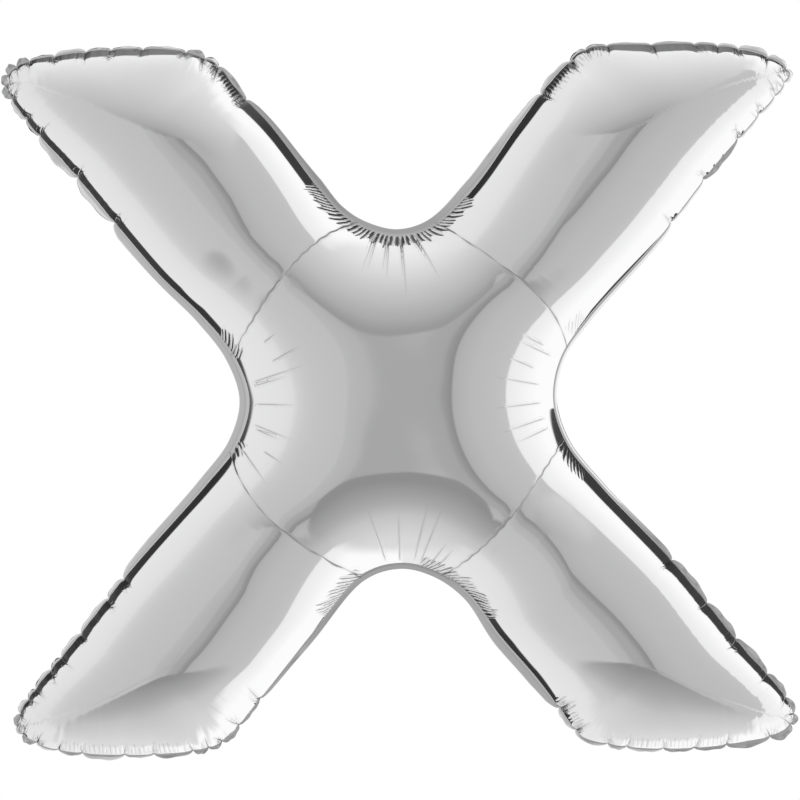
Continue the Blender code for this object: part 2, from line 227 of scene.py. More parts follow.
def arm_grid(name):
    """One arm with its quarter of the middle, laid flat: points (right, up) on a grid, and each
    point's distance from the arm's end and from the crease, less than 0 on the middle's side."""
    stretches = SEAM[name]
    out, end, back = stretches[0], stretches[1], stretches[2][::-1]
    crease, meets = crease_line(name, stretches)
    across = np.linspace(-1, 1, CROSS_ROWS + 1)
    across = 0.5 * across + 0.5 * np.sin(across * np.pi / 2)
    v = across[None, :]
    t = (v + 1) / 2
    hub = rows(HUB_ROWS, 0.75, 0.3)[:, None]
    arm = rows(ARM_ROWS, 0.2, 0.75)[:, None]
    notch_line = np.where(v[..., None] < 0, out[0], back[0]) * np.abs(v)[..., None]
    fold = place_on(crease, t)
    inner = patch(place_on(out, hub * meets[0]), place_on(back, hub * meets[1]), notch_line, fold, hub, v, 1)
    side_a = place_on(out, meets[0] + (1 - meets[0]) * arm)
    side_b = place_on(back, meets[1] + (1 - meets[1]) * arm)
    outer = patch(side_a, side_b, fold, place_on(end, t), arm, v, 3)
    length_a = lengths_along(out)[-1] * (1 - meets[0])
    length_b = lengths_along(back)[-1] * (1 - meets[1])
    to_end = (1 - arm) * (length_a * (1 - t) + length_b * t)
    flat = np.concatenate([inner, outer[1:]]).reshape(-1, 2)
    far = np.full(inner.shape[:2], 1.0)
    crease_side = nearest_on(flat, crease, lengths_along(crease))[0]
    crease_side[: inner.shape[0] * inner.shape[1]] *= -1
    return flat, np.concatenate([far, to_end[1:]]).reshape(-1), crease_side


def notch_line(index):
    """The seam on both sides of one notch, and the distance along it from the notch."""
    names = list(SEAM)
    before, after = SEAM[names[index - 1]][2], SEAM[names[index]][0]
    line = np.vstack([before, after[1:]])
    along = lengths_along(line)
    return line, along - nearest_on(after[:1], line, along)[1][0]


def blown_height(flat, to_end, arm_index):
    """How far the film stands out from the seam's plane. On the crest it has its full height. Towards
    each seam it falls by one factor: on an arm the circle's root of 1 - x squared, in the notch,
    where the film is tight, 1 - x to the fourth, where x runs from the crest (0) to the seam (1).
    At the arm's end it falls once more as a circle does."""
    radius = np.linalg.norm(flat, axis=1)
    height = ARM_HEIGHT + (MIDDLE_HEIGHT - ARM_HEIGHT) * (1 - ease((radius - 0.06) / 0.16))
    for index in (arm_index, (arm_index + 1) % 4):
        line, along = notch_line(index)
        distance, spot = nearest_on(flat, line, along)
        tight = 1 - ease(np.abs(spot) / NOTCH_FADE)
        reach = ARM_HALF_WIDTH + (NOTCH_REACH - ARM_HALF_WIDTH) * tight
        x = np.clip(1 - distance / reach, 0, 1)
        height = height * (1 - x ** (2 + 2 * tight)) ** (0.5 + 0.5 * tight)
    closing = np.clip(1 - to_end / END_LENGTH, 0, 1)
    return height * np.sqrt(1 - closing**2)


def letter_sheet():
    """The whole sheet, welded from its four arms: flat points, heights, distances from the crease of
    the nearest arm, and quads."""
    shape = (HUB_ROWS + ARM_ROWS + 1, CROSS_ROWS + 1)
    number = np.arange(shape[0] * shape[1]).reshape(shape)
    around = [number[:-1, :-1], number[1:, :-1], number[1:, 1:], number[:-1, 1:]]
    quads = np.stack(around, axis=-1).reshape(-1, 4)
    flats, heights, creases = [], [], []
    for index, name in enumerate(SEAM):
        flat, to_end, crease_side = arm_grid(name)
        flats.append(flat)
        heights.append(blown_height(flat, to_end, index))
        creases.append(crease_side)
    flat, height, crease_side = np.vstack(flats), np.concatenate(heights), np.concatenate(creases)
    all_quads = np.vstack([quads + k * number.size for k in range(4)])
    places = np.round(flat / (0.005 * MM)).astype(np.int64)
    _, first, weld = np.unique(places, axis=0, return_index=True, return_inverse=True)
    return flat[first], height[first], crease_side[first], weld.reshape(-1)[all_quads]


def outward(points, quads):
    """Unit normals of the sheet at its points, away from the inside."""
    a, b, c, d = (points[quads[:, k]] for k in range(4))
    face = np.cross(c - a, d - b)
    total = np.stack(
        [sum(np.bincount(quads[:, j], face[:, k], len(points)) for j in range(4)) for k in range(3)], axis=1
    )
    return total / np.maximum(np.linalg.norm(total, axis=1), 1e-12)[:, None]


SHEET_FLAT, SHEET_HEIGHT, CREASE_SIDE, SHEET_QUADS = letter_sheet()
FROM_SEAM, SEAM_SPOT = nearest_on(SHEET_FLAT, SEAM_LINE, SEAM_ALONG)


def tuck_places():
    """Where along the whole seam each tuck lies."""
    places, start = [], 0.0
    for name, stretches in SEAM.items():
        places.append(start + np.cumsum(ARMS[name]["tucks"]) * MM)
        start += sum(lengths_along(part)[-1] for part in stretches)
    return np.concatenate(places)


TUCKS = tuck_places()
TUCK_DENT = 2.2 * MM
TUCK_DENT_WIDTH = 3 * MM


def seam_frame(spot):
    """Points of the seam at these distances along it, and the direction into the letter there."""
    point = np.stack([np.interp(spot, SEAM_ALONG, SEAM_LINE[:, k]) for k in (0, 1)], axis=-1)
    step = 1.5 * MM
    ahead, behind = (spot + step) % SEAM_ALONG[-1], (spot - step) % SEAM_ALONG[-1]
    way = [np.interp(ahead, SEAM_ALONG, c) - np.interp(behind, SEAM_ALONG, c) for c in SEAM_LINE.T]
    way = np.stack(way, axis=-1)
    way /= np.linalg.norm(way, axis=-1, keepdims=True)
    return point, np.stack([way[..., 1], -way[..., 0]], axis=-1)


def near_tuck(spot, width):
    """1 at a tuck, falling away along the seam as an exponential of the distance from it."""
    away = np.abs(np.asarray(spot)[:, None] - TUCKS).min(axis=1)
    return np.exp(-away / width)


def tucked(spot):
    """1 where the seam is gathered, between an arm's first tuck and its last, and 0 in the notches."""
    start, weight = 0.0, np.zeros(len(spot))
    for name, stretches in SEAM.items():
        places = start + np.cumsum(ARMS[name]["tucks"]) * MM
        first, last = places[0], places[-1]
        weight += ease((spot - first + 0.02) / 0.04) * ease((last + 0.02 - spot) / 0.04)
        start += sum(lengths_along(part)[-1] for part in stretches)
    return weight


# Pleats that run in from the notches, in millimetres as (start, stop), each start by the seam. Those
# at the top are flattened tubes and show as pairs of lines.
PLEATS = (
    ((-30, 193), (-43, 152)),
    ((-26, 191), (-37, 152)),
    ((-14.5, 189), (-19, 150)),
    ((-11.5, 189), (-14, 140)),
    ((2, 188), (6, 138)),
    ((4.5, 188), (9.5, 120)),
    ((19, 192), (36, 160)),
    ((22, 192), (50, 140)),
    ((-167, 23), (-110, 41)),
    ((-167, 18), (-130, 28)),
    ((-165, -5), (-118, -6)),
    ((-167, -31), (-122, -48)),
    ((-166, -36), (-140, -47)),
    ((-146, 47), (-115, 64)),
    ((-157, 69), (-143, 79)),
    ((-157, -62), (-134, -76)),
    ((-183, -62), (-153, -101)),
    ((162, 19), (112, 27)),
    ((164, -4), (112, -10)),
    ((169, -23), (120, -39)),
    ((174, -35), (138, -51)),
    ((157, 39), (125, 52)),
    ((177, 54), (140, 70)),
    ((169, 66), (145, 77)),
    ((-17, -186), (-37, -125)),
    ((1, -186), (0, -130)),
    ((20, -184), (35, -120)),
    ((28, -188), (52, -125)),
    ((40, -192), (60, -166)),
    ((48, -196), (66, -176)),
)
PLEAT_SINK = 0.7
CREASE_SHOULDER = 0.45 * MM
CREASE_REACH = 14 * MM
CREASE_SINK = 1.0
# How far to the sides of a fold line its marks on the sheet reach
FOLD_REACH = 3.6 * MM


def mark_line(across, depth, found, offset, sink):
    """Keeps for each point of the sheet the fold line that shows most there: how far the point is
    across it, and how deep it is, less the farther away."""
    seen = sink * np.clip(1.6 - np.abs(offset) / FOLD_REACH * 1.6, 0, 1)
    better = seen > depth[found]
    rows = np.flatnonzero(found)[better]
    across[rows] = offset[better]
    depth[rows] = seen[better]


def mark_stroke(across, depth, start, stop, sink, bend=0.0):
    """A pleat from start to stop, bent sideways as a parabola, fading at its tip."""
    way = stop - start
    length = np.linalg.norm(way)
    way = way / length
    found = np.abs(SHEET_FLAT - (start + stop) / 2).max(axis=1) < length / 2 + 6 * MM
    offset = SHEET_FLAT[found] - start
    along = offset @ way / length
    sideways = offset @ np.array([-way[1], way[0]]) - bend * along**2
    held = np.clip(along * 8 + 1, 0, 1) * np.clip((1 - along) * 1.6, 0, 1)
    mark_line(across, depth, found, sideways, sink * held)


def fold_lines(seed):
    """Every sharp fold of one sheet: the creases round the middle, the long pleats of the notches,
    and the short fans at the tucks."""
    random = np.random.default_rng(seed)
    across, depth = np.full(len(SHEET_FLAT), FOLD_REACH), np.zeros(len(SHEET_FLAT))
    wander = 0.5 * MM * np.sin(SHEET_FLAT[:, 0] * 350 + SHEET_FLAT[:, 1] * 260)
    found = np.abs(CREASE_SIDE) < 6 * MM
    patchy = 0.75 + 0.25 * np.sin(SHEET_FLAT @ np.array([140.0, -190.0]) + 2 * seed)
    mark_line(across, depth, found, (CREASE_SIDE + wander)[found], (CREASE_SINK * patchy)[found])
    for start, stop in PLEATS:
        start, stop = np.array(start) * MM, np.array(stop) * MM
        if seed:
            turn = random.normal(0, 5) * MM / 0.18
            start, stop = start + turn * start[::-1] * (1, -1), stop + turn * stop[::-1] * (1, -1)
        mark_stroke(across, depth, start, stop, PLEAT_SINK)
    for place in TUCKS:
        for rank in range(4):
            spot = np.array([place + (0 if rank == 0 else random.uniform(-9, 9) * MM)])
            start, inward = (part[0] for part in seam_frame(spot % SEAM_ALONG[-1]))
            way = inward + random.normal(0, 0.2) * np.array([-inward[1], inward[0]])
            length = random.uniform(13, 26) * MM * (1 if rank == 0 else 0.7)
            sink = 0.9 if rank == 0 else random.uniform(0.25, 0.6)
            mark_stroke(across, depth, start, start + way * length, sink, random.normal(0, 2) * MM)
    return across, depth


def pressed():
    """How far the sheet is pressed in along its normal: low shoulders beside the creases, and a dent
    at each tuck."""
    total = -CREASE_SHOULDER * np.clip(1 - np.abs(CREASE_SIDE) / CREASE_REACH, 0, 1) ** 2
    total -= 1.3 * MM * near_tuck(SEAM_SPOT, TUCK_DENT_WIDTH) * np.exp(-FROM_SEAM / (12 * MM))
    return total * np.clip(FROM_SEAM / (2.5 * MM), 0, 1)


def waviness(points, seed):
    """The film's gentle unevenness: eight long waves of a fraction of a millimetre, added up."""
    random = np.random.default_rng(seed + 20)
    total = np.zeros(len(points))
    for _ in range(8):
        turn, length = random.uniform(0, np.pi), random.uniform(70, 170) * MM
        across = points @ np.array([np.cos(turn), np.sin(turn)])
        total += np.sin(across * 2 * np.pi / length + random.uniform(0, 2 * np.pi)) * length * 0.0011
    return total * ease(FROM_SEAM / (40 * MM))


def new_piece(name, points, quads, material, smooth=True):
    mesh = bpy.data.meshes.new(name)
    mesh.vertices.add(len(points))
    mesh.vertices.foreach_set("co", np.ascontiguousarray(points, dtype=np.float32).ravel())
    mesh.loops.add(quads.size)
    mesh.loops.foreach_set("vertex_index", np.ascontiguousarray(quads, dtype=np.int32).ravel())
    mesh.polygons.add(len(quads))
    mesh.polygons.foreach_set("loop_start", np.arange(0, quads.size, quads.shape[1], dtype=np.int32))
    mesh.update(calc_edges=True)
    mesh.validate()
    if smooth:
        mesh.shade_smooth()
    mesh.materials.append(material)
    made = bpy.data.objects.new(name, mesh)
    bpy.context.scene.collection.objects.link(made)
    return made


class Wire:
    """One socket of a material's nodes. Sums and products of wires add their Math nodes."""

    def __init__(self, tree, socket=None):
        self.tree = tree
        self.socket = socket

    def node(self, kind, settings=None, sockets=None, output=0):
        """A new node of this kind: its settings first, then the values or links of its sockets."""
        made = self.tree.nodes.new(kind)
        for key, value in (settings or {}).items():
            setattr(made, key, value)
        for key, value in (sockets or {}).items():
            if isinstance(value, Wire):
                self.tree.links.new(value.socket, made.inputs[key])
            else:
                made.inputs[key].default_value = value
        return Wire(self.tree, made.outputs[output])

    def math(self, operation, *values, clamp=False):
        settings = {"operation": operation, "use_clamp": clamp}
        return self.node("ShaderNodeMath", settings, dict(enumerate(values)))

    def __add__(self, other):
        return self.math("ADD", self, other)

    def __sub__(self, other):
        return self.math("SUBTRACT", self, other)

    def __mul__(self, other):
        return self.math("MULTIPLY", self, other)

    def __truediv__(self, other):
        return self.math("DIVIDE", self, other)

    def __rsub__(self, other):
        return self.math("SUBTRACT", other, self)

    def __rtruediv__(self, other):
        return self.math("DIVIDE", other, self)

    __radd__ = __add__
    __rmul__ = __mul__


FILM_SILVER = (0.97, 0.97, 0.975, 1.0)
FOLD_HALF_WIDTH = 0.8 * MM
COMB_PITCH = 5.0 * MM
COMB_DEPTH = 0.25 * MM
COMB_REACH = 13 * MM
COMB_RAGGED = 16 * MM


# Stretches of seam with a comb of fine pleats, as millimetres from an arm's first notch, and how
# strong the comb is
COMBS = (
    ("upper_left", 50, 84, 0.7),
    ("upper_left", 744, 806, 0.5),
    ("upper_left", 938, 1060, 1.0),
    ("upper_right", 0, 96, 1.0),
    ("upper_right", 252, 350, 0.45),
    ("upper_right", 960, 985, 0.4),
    ("lower_right", 56, 96, 0.5),
    ("lower_right", 560, 700, 0.25),
    ("lower_right", 762, 806, 0.5),
    ("lower_right", 930, 1034, 1.0),
    ("lower_left", 48, 112, 1.0),
    ("lower_left", 360, 500, 0.3),
    ("lower_left", 985, 1000, 0.6),
)
# Where the lines of a comb meet, behind the seam of a notch
FAN_CENTRE = 55 * MM


def comb_strength(spot):
    """1 in the middle of a stretch with a full comb, fading at its ends over 8 mm."""
    starts, start = {}, 0.0
    for name, stretches in SEAM.items():
        starts[name] = start
        start += sum(lengths_along(part)[-1] for part in stretches)
    strength = np.zeros(len(spot))
    for name, low, high, full in COMBS:
        inside = np.minimum(spot - starts[name] - low * MM, starts[name] + high * MM - spot)
        strength = np.maximum(strength, full * ease(inside / (8 * MM) + 0.5))
    return strength


def fanned(spot, inside):
    """Places along the seam, drawn together round each notch as lines from one centre spread: a line
    that starts u from the notch lies at u (1 + inside / centre)."""
    length = SEAM_ALONG[-1]
    notches, start = [0.0], 0.0
    for stretches in SEAM.values():
        start += sum(lengths_along(part)[-1] for part in stretches)
        notches.append(start)
    away = spot[:, None] - np.array(notches)
    nearest = away[np.arange(len(spot)), np.abs(away).argmin(axis=1)]
    spread = inside / FAN_CENTRE * (1 - ease((np.abs(nearest) - 100 * MM) / (50 * MM)))
    return (spot - nearest) + nearest / (1 + spread)


def film_material(name, seed):
    """Bright metallised film: nearly a mirror. Sharp folds are narrow grooves in the bump. Along
    them and in the comb's valleys the base colour is darkened, painted shade for film mirroring film
    there. In the combs fine pleats stand side by side."""
    made = bpy.data.materials.new(name)
    made.use_nodes = True
    shader = made.node_tree.nodes["Principled BSDF"]
    shader.inputs["Metallic"].default_value = 1.0
    tree = made.node_tree
    start = Wire(tree)
    seam_uv = start.node("ShaderNodeUVMap", {"uv_map": "along_seam"})
    parts = tree.nodes.new("ShaderNodeSeparateXYZ")
    tree.links.new(seam_uv.socket, parts.inputs[0])
    spot, inside = Wire(tree, parts.outputs[0]), Wire(tree, parts.outputs[1])
    across, depth, combed, gathered = (
        start.node("ShaderNodeAttribute", {"attribute_name": name}, output=2)
        for name in ("fold_across", "fold_depth", "combed", "gathered")
    )

    def wave(width, long):
        place = start.node("ShaderNodeCombineXYZ", None, {0: spot / width, 1: inside / long, 2: seed})
        return start.node("ShaderNodeTexNoise", None, {"Vector": place, "Scale": 1.0, "Detail": 0.0})

    def step(value, low, high):
        settings = {"interpolation_type": "SMOOTHSTEP"}
        return start.node("ShaderNodeMapRange", settings, {0: value, 1: low, 2: high})

    groove = depth * start.math("EXPONENT", start.math("ABSOLUTE", across) / (-FOLD_HALF_WIDTH))
    phase = spot * (2 * math.pi / COMB_PITCH) + wave(16 * MM, 60 * MM) * 9.0
    tooth = start.math("SINE", phase)
    reach = COMB_REACH + (wave(5 * MM, 200 * MM) - 0.5) * COMB_RAGGED
    comb = combed * (1 - step(inside, reach, reach + 3 * MM)) * step(inside, 0.5 * MM, 5 * MM)
    valley = comb * step(tooth, 0.1, 0.8)
    ridge = comb * step(tooth * -1.0, 0.35, 0.9)
    soft = gathered * (wave(9 * MM, 70 * MM) * 1.2 + wave(4 * MM, 50 * MM) * 0.25)
    height = (soft - groove * 0.75) * MM - comb * tooth * COMB_DEPTH
    bump = start.node("ShaderNodeBump", None, {"Height": height, "Strength": 1.0, "Distance": 1.0})
    tree.links.new(bump.socket, shader.inputs["Normal"])
    # Painted shade: the base colour is darkened along the fold grooves and in the comb's valleys, where film mirrors
    # film
    shade = start.math("MAXIMUM", groove * 0.75, valley * 0.7)
    bright = 1.0 - shade
    colour = [bright * part for part in FILM_SILVER[:3]]
    base = start.node("ShaderNodeCombineColor", None, dict(enumerate(colour)))
    tree.links.new(base.socket, shader.inputs["Base Color"])
    tree.links.new((0.06 + ridge * 0.45).socket, shader.inputs["Roughness"])
    return made


def film_sheet(name, towards, seed, material):
    """One sheet: the blown-up surface, drawn in at each tuck, with its dents along the normal, and
    its folds as marks for the material."""
    _, inward = seam_frame(SEAM_SPOT)
    dent = TUCK_DENT * near_tuck(SEAM_SPOT, TUCK_DENT_WIDTH) * np.exp(-FROM_SEAM / (10 * MM))
    flat = SHEET_FLAT + inward * dent[:, None]
    points = np.stack([flat[:, 0], towards * (FILM_LIFT + SHEET_HEIGHT), flat[:, 1]], axis=1)
    quads = SHEET_QUADS if towards > 0 else SHEET_QUADS[:, ::-1]
    points += outward(points, quads) * (pressed() + waviness(SHEET_FLAT, seed))[:, None]
    made = new_piece(name, points, quads, material)
    corner = quads.ravel()
    spot = fanned(SEAM_SPOT, FROM_SEAM)[corner].reshape(-1, 4)
    wraps = spot.max(axis=1, keepdims=True) - spot > SEAM_ALONG[-1] / 2
    spot = np.where(wraps, spot + SEAM_ALONG[-1], spot).ravel()
    layer = made.data.uv_layers.new(name="along_seam")
    layer.data.foreach_set("uv", np.stack([spot, FROM_SEAM[corner]], axis=1).astype(np.float32).ravel())
    across, depth = fold_lines(seed)
    marks = {
        "fold_across": across,
        "fold_depth": depth,
        "combed": comb_strength(SEAM_SPOT),
        "gathered": tucked(SEAM_SPOT) * np.exp(-FROM_SEAM / (26 * MM)),
    }
    for mark, values in marks.items():
        layer = made.data.attributes.new(mark, "FLOAT", "POINT")
        layer.data.foreach_set("value", values.astype(np.float32))
    return made


front_film = film_sheet("front_film", -1, 0, film_material("silver_front_film", 0.0))
back_film = film_sheet("back_film", 1, 1, film_material("silver_back_film", 7.0))
for film, node in ((front_film, "front_film_panel"), (back_film, "back_film_panel")):
    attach(film, "root")
    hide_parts(node)


# The sealed margin
# Outside the seam the two films are welded flat on each other. In the notches and on the sides the
# weld is a smooth band. Between the tucks it stands out in scallops, each curled its own way.

# Width of the plain band in millimetres and how far it is turned, in degrees and positive to the
# back, at places given in millimetres from the arm's first notch, up to its first tuck and from its
# last
BANDS = {
    "upper_left": (
        ((0, 8, 6), (60, 7.4, 8), (130, 7.2, 12), (180, 6.8, 15), (235, 8, 28)),
        ((812, 4.2, 4), (840, 4.4, 4), (900, 5.4, 4), (940, 7, 6), (975, 5.4, 6), (1020, 5.4, 0), (1062, 6, 0)),
    ),
    "upper_right": (
        ((0, 6, 0), (40, 7, 0), (100, 9.4, 6), (150, 9.2, 10), (190, 7.4, 34), (235, 5, 50)),
        ((812, 4.2, 58), (900, 4.4, 62), (1000, 4.4, 62), (1062, 4.4, 62)),
    ),
    "lower_right": (
        ((0, 4.4, 62), (60, 4.4, 60), (130, 4.2, 55), (180, 4.6, 20), (235, 5, -6)),
        ((800, 6, 6), (840, 9, 4), (900, 9.2, 4), (950, 6.8, 4), (1000, 5.4, 2), (1035, 4.8, 0), (1060, 4.6, 0)),
    ),
    "lower_left": (
        ((0, 4.6, 0), (50, 5, 0), (100, 5.2, 4), (150, 5.4, 0), (185, 4, -14), (235, 2.6, -24)),
        ((795, 6, 34), (840, 7.8, 26), (900, 8, 18), (980, 8, 10), (1049, 8, 6)),
    ),
}
# The same for the scallops, from each arm's first tuck to its last
SCALLOPS = {
    "upper_left": (
        *((8, 46), (7.6, 46), (3.2, 74), (4.4, 56), (5.6, -8), (4.4, -16), (6.8, -12), (5.6, -16)),
        *((3, 68), (4.4, 40), (3, 64), (3, 64), (3, 60), (5.6, -12), (4.6, 68), (4.4, -8)),
    ),
    "upper_right": (
        *((5, 46), (3.2, 72), (2.8, 74), (2.2, 76), (2.6, 76), (2.4, 76), (3.2, 50), (6.4, 36)),
        *((5.4, 34), (5, 40), (2.6, 52), (3, 62), (3, 62), (4.8, -6), (3, 58)),
    ),
    "lower_right": (
        *((5.6, -6), (5.6, -14), (6, -14), (5, -2), (4.2, -20), (4.6, -24), (7.4, -24)),
        *((6, -14), (3.2, -22), (3.2, -22), (4, 30), (4.6, 34), (4.4, 34), (4.6, 34)),
    ),
    "lower_left": (
        *((3, -22), (4.6, -24), (4, -22), (4.8, -24), (5, 12), (3, 34), (6.2, 32), (3.6, 24), (3.4, 62), (5.6, -20)),
        *((2.6, 40), (3.8, -22), (4.6, 42), (3, 62), (4, 46), (3.4, 66), (4.2, 50), (4.2, 50), (4, 50)),
    ),
}
MARGIN_AT_TUCK = 1.2 * MM
MARGIN_TAPER = 16 * MM
MARGIN_RIM = 26
MARGIN_LAP = 1.0 * MM
MARGIN_HALF_THICK = 0.12 * MM
MARGIN_STEP = 1.6 * MM
MARGIN_ROWS = 9


def margin_shape():
    """Along the whole seam: distances, the margin's width seen from the front, and its turn. A
    scallop's edge is uneven and fuller on one side of its middle."""
    random = np.random.default_rng(4)
    spots, widths, curls, start = [], [], [], 0.0
    for name, stretches in SEAM.items():
        length = sum(lengths_along(part)[-1] for part in stretches)
        stops = np.cumsum(ARMS[name]["tucks"]) * MM
        spot = np.unique(np.concatenate([np.arange(0, length, MARGIN_STEP), stops]))
        width, curl = np.full(len(spot), MARGIN_AT_TUCK), np.zeros(len(spot))
        for band, here, tuck in zip(BANDS[name], (spot <= stops[0], spot >= stops[-1]), (stops[0], stops[-1])):
            at, full, turned = np.array(band, float).T
            neck = np.sqrt(np.clip(np.abs(spot[here] - tuck) / MARGIN_TAPER, 0, 1))
            width[here] = MARGIN_AT_TUCK + (np.interp(spot[here], at * MM, full * MM) - MARGIN_AT_TUCK) * neck
            curl[here] = np.interp(spot[here], at * MM, turned)
        for (full, turned), a, b in zip(SCALLOPS[name], stops[:-1], stops[1:]):
            here = (spot > a) & (spot < b)
            share = ((spot[here] - a) / (b - a)) ** random.uniform(0.8, 1.3)
            arch = (4 * share * (1 - share)) ** 0.6
            full = full * MM * (1 + 0.12 * np.sin(share * random.uniform(8, 16) + random.uniform(0, 6)))
            width[here] = MARGIN_AT_TUCK + np.clip(full - MARGIN_AT_TUCK, 0, None) * arch
            curl[here] = turned + random.normal(0, 5) + 7 * np.sin(share * random.uniform(6, 11))
        spots.append(start + spot)
        widths.append(width)
        curls.append(np.radians(curl))
        start += length
    return np.concatenate(spots), np.concatenate(widths), np.concatenate(curls)


def margin_ring(material):
    """A band carried round the seam. Across it the turn rises from nothing to the full curl in the
    first third, and once more at the rim. Summing its cosine gives the way out, its sine the way
    back."""
    spot, width, curl = margin_shape()
    point, inward = seam_frame(spot)
    point = point + inward * (TUCK_DENT * near_tuck(spot, TUCK_DENT_WIDTH))[:, None]
    q = (np.arange(MARGIN_ROWS) + 0.5) / MARGIN_ROWS
    rim = np.radians(MARGIN_RIM) * np.sign(curl) * np.clip(np.abs(curl) / 0.5, 0, 1)
    turned = curl[:, None] * ease(q / 0.35) + rim[:, None] * ease((q - 0.7) / 0.3)
    turned = np.clip(turned, -1.4, 1.45)
    out = np.cumsum(np.cos(turned), axis=1)
    back = np.cumsum(np.sin(turned), axis=1) / out[:, -1:] * width[:, None]
    out = out / out[:, -1:] * width[:, None]
    nothing = np.zeros((len(spot), 1))
    out, back = np.hstack([nothing - MARGIN_LAP, nothing, out]), np.hstack([nothing, nothing, back])
    flat = point[:, None, :] - inward[:, None, :] * out[..., None]
    layers = []
    for side in (-1, 1):
        layers.append(np.stack([flat[..., 0], back + side * MARGIN_HALF_THICK, flat[..., 1]], axis=-1))
    across = np.concatenate([layers[0], layers[1][:, ::-1]], axis=1)
    count, around = across.shape[:2]
    number = np.arange(count * around).reshape(count, around)
    after, beside = np.roll(number, -1, axis=0), np.roll(number, -1, axis=1)
    corner = np.roll(after, -1, axis=1)
    quads = np.stack([number, beside, corner, after], axis=-1).reshape(-1, 4)
    return new_piece("sealed_margin", across.reshape(-1, 3), quads, material)


def margin_material():
    """Two films welded together: metal too, a little duller than the panels."""
    made = bpy.data.materials.new("silver_margin")
    made.use_nodes = True
    shader = made.node_tree.nodes["Principled BSDF"]
    shader.inputs["Base Color"].default_value = (0.86, 0.86, 0.865, 1.0)
    shader.inputs["Metallic"].default_value = 1.0
    shader.inputs["Roughness"].default_value = 0.16
    return made


margin = margin_ring(margin_material())
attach(margin, "root")
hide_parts("edge_seal")


# The filling tail
# The neck through which the balloon is filled: a flat sleeve of the same film that leaves the
# margin at the lower notch, is folded over behind, and lies up the back. The clear film of the
# self-closing valve is welded inside it and shows in its mouth.

TAIL_LENGTH = 78 * MM
TAIL_OUT = 3.4 * MM
TAIL_FLAT = 32 * MM
TAIL_ROOT_WIDTH = 44 * MM
TAIL_WIDTH = 30 * MM
TAIL_TAPER = 16 * MM
TAIL_CLEARANCE = 5.6 * MM
TAIL_FOLD_UP = 34 * MM
TAIL_FOLD = ((0.3, 0.3), (14, 0.9), (27, 3.4))
TAIL_HALF_THICK = 0.5 * MM
TAIL_CRUMPLE = 0.28 * MM
TAIL_COLUMNS = 30
VALVE_LENGTH = 9 * MM
VALVE_INSIDE = 3 * MM
VALVE_WIDTH = 21 * MM


def tail_route():
    """The middle of the sleeve as (back, up), from its root to its mouth: over the first fold, up
    the back film at a small distance, and straight at the end."""
    middle = np.abs(SHEET_FLAT[:, 0] - NOTCHES["bottom"][0] * MM) < 3 * MM
    on_line = middle & (SHEET_FLAT[:, 1] < -20 * MM)
    order = np.argsort(SHEET_FLAT[on_line, 1])
    up, back = SHEET_FLAT[on_line, 1][order], SHEET_HEIGHT[on_line][order] + FILM_LIFT
    even = np.linspace(up[0], up[-1], 120)
    skin = np.stack([np.interp(even, up, back), even], axis=1)
    along = lengths_along(skin)
    fine = np.linspace(0, along[-1], 160)
    skin = np.stack([np.interp(fine, along, skin[:, k]) for k in (0, 1)], axis=1)
    way = np.gradient(skin, axis=0)
    way /= np.linalg.norm(way, axis=1)[:, None]
    clear = skin + np.stack([way[:, 1], -way[:, 0]], axis=1) * TAIL_CLEARANCE
    root = np.array([0.0, NOTCHES["bottom"][1] * MM - TAIL_OUT])
    path = np.vstack([root + np.array(TAIL_FOLD) * MM, clear[fine >= TAIL_FOLD_UP]])
    run = lengths_along(path)
    stops = np.linspace(0, TAIL_LENGTH - TAIL_FLAT, 44)
    route = np.stack([np.interp(stops, run, path[:, k]) for k in (0, 1)], axis=1)
    for _ in range(10):
        route[1:-1] = (route[:-2] + 2 * route[1:-1] + route[2:]) / 4
    onward = (route[-1] - route[-2]) / np.linalg.norm(route[-1] - route[-2])
    return np.vstack([route, route[-1] + onward * np.linspace(0, TAIL_FLAT, 26)[1:, None]])


def sleeve(name, route, widths, half_thick, crumple, material):
    """A flat closed tube carried along a route. Across it each side stands out by the root of
    1 - x to the fourth, x being the share of the way from the middle to an edge, and both sides
    share the same small crumples."""
    way = np.gradient(route, axis=0)
    way /= np.linalg.norm(way, axis=1)[:, None]
    x = np.sin(np.linspace(-1, 1, TAIL_COLUMNS) * np.pi / 2 * 0.97)
    run = lengths_along(route)[:, None]
    crest = half_thick * np.sqrt(1 - x**4) * np.ones_like(run)
    wave = np.sin(x * 7 + run * 150) + np.sin(x * 15 - run * 80 + 2) + 0.6 * np.sin(run * 400 + x * 5)
    wave = wave * crumple
    shift = np.hstack([wave + crest, (wave - crest)[:, ::-1]])
    both = np.concatenate([x, x[::-1]])
    right = NOTCHES["bottom"][0] * MM + both * np.asarray(widths)[:, None] / 2
    points = np.stack([right, route[:, :1] + way[:, 1:] * shift, route[:, 1:] - way[:, :1] * shift], axis=-1)
    count, around = points.shape[:2]
    number = np.arange(count * around).reshape(count, around)
    beside = np.roll(number, -1, axis=1)
    quads = np.stack([number[:-1], number[1:], beside[1:], beside[:-1]], axis=-1).reshape(-1, 4)
    low = np.arange(TAIL_COLUMNS - 1)
    cap = np.stack([low, low + 1, around - 2 - low, around - 1 - low], axis=-1)
    faces = np.vstack([quads, cap, cap[:, ::-1] + number[-1, 0]])
    return new_piece(name, points.reshape(-1, 3), faces, material)


